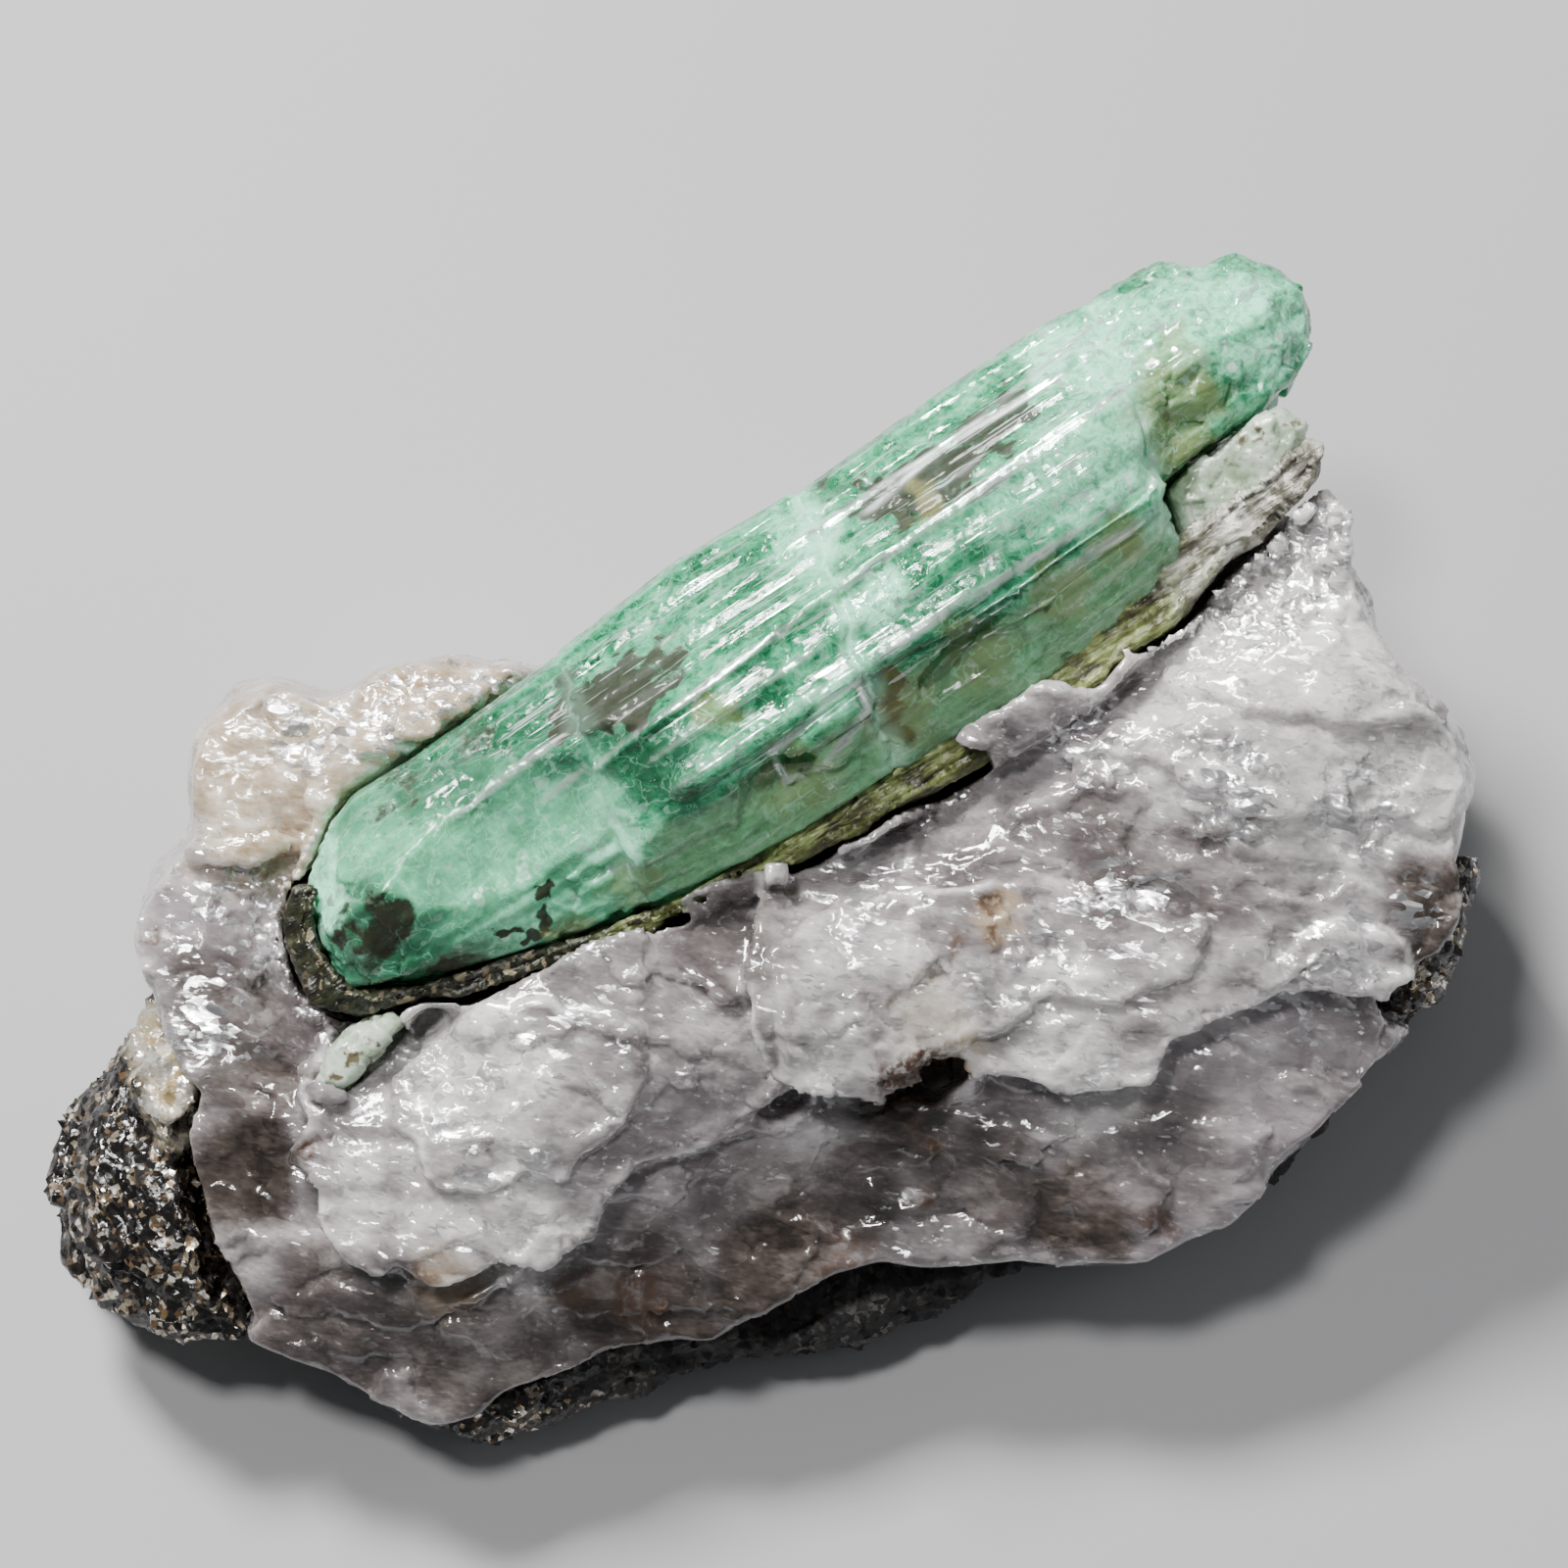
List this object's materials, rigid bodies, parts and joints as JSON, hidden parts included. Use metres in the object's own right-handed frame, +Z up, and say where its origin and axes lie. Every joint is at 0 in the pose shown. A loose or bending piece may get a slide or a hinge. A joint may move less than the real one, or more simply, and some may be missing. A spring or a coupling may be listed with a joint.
{
  "type": "emerald in matrix",
  "caption": "Hand-sized mineral specimen: a long striated emerald prism lying across sugary vein quartz, with dark mica schist below, resting on its flat underside.",
  "frame": {"origin": "middle of the specimen's footprint, at the height of the flat underside that it rests on", "axes": "+X along the specimen, towards the crystal's chipped tip; +Y across it, towards the edge that the crystal overhangs; +Z up, out of the face that carries the crystal"},
  "size_m": [0.0548, 0.0416, 0.0241],
  "materials": {
    "quartz": "sugary and glassy on fresh breaks, faintly mauve grey, tan where stained",
    "schist": "black mica flakes with glinting cleavage",
    "mica": "olive brown mica flakes, half matt",
    "emerald": "polished by growth, striated along the prism, cloudy inside",
    "pale_beryl": "pale and cloudy, broken faces"
  },
  "bodies": {
    "root": {"quartz_matrix": "quartz", "biotite_schist": "schist", "biotite_selvage": "mica", "emerald_crystal": "emerald", "pale_beryl_crystal": "pale_beryl", "emerald_sliver": "pale_beryl"}
  },
  "joints": []
}
